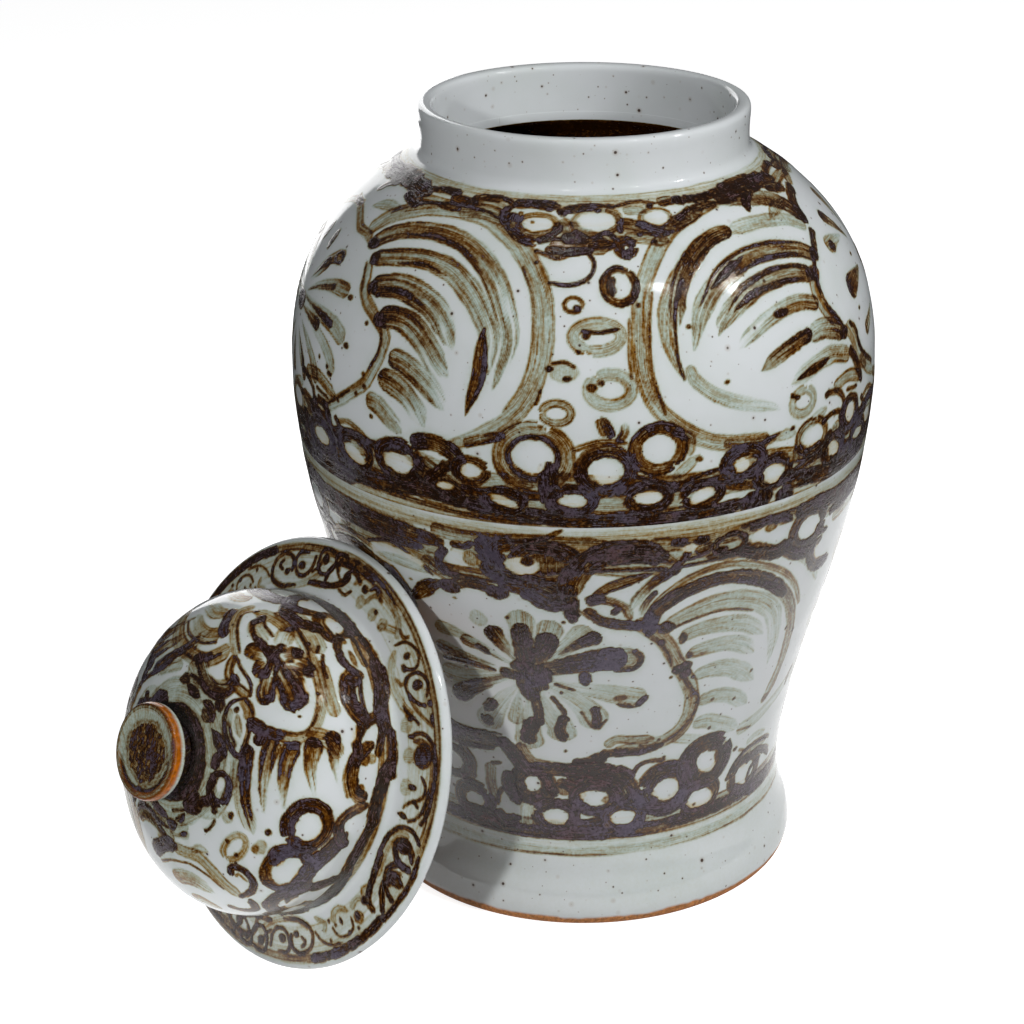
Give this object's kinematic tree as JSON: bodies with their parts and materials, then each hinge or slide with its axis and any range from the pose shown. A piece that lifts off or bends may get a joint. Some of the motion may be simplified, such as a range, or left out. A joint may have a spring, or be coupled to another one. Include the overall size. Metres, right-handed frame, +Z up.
{
  "type": "temple jar",
  "caption": "Glazed baluster jar with a short upright neck, its domed lid with brim, tenon and button knob set down beside it and leaning on its wall.",
  "frame": {"origin": "middle of the base of the whole, on the floor that the jar and the lid's edge stand on", "axes": "+Z up; -X from the jar towards the leaning lid, so X is the long way; Y across, the short way"},
  "size_m": [0.429, 0.3, 0.408],
  "materials": {
    "lower_body": "clear celadon-white gloss glaze over iron-brown brush painting",
    "upper_body": "clear celadon-white gloss glaze over iron-brown brush painting",
    "neck_collar": "plain celadon-white gloss glaze with iron specks",
    "lid_cover": "clear celadon-white gloss glaze over iron-brown brush painting",
    "lid_tenon": "unglazed fired clay",
    "lid_knob": "gloss glaze over iron-brown wash"
  },
  "bodies": {
    "jar": {"lower_body": "lower_body", "upper_body": "upper_body", "neck_collar": "neck_collar"},
    "lid": {"lid_cover": "lid_cover", "lid_tenon": "lid_tenon", "lid_knob": "lid_knob"}
  },
  "joints": [
    {"name": "lid_lift", "type": "slide", "parent": "jar", "child": "lid", "axis": [-0.9397, 0, 0.342], "range_m": [0, 0.2]}
  ]
}
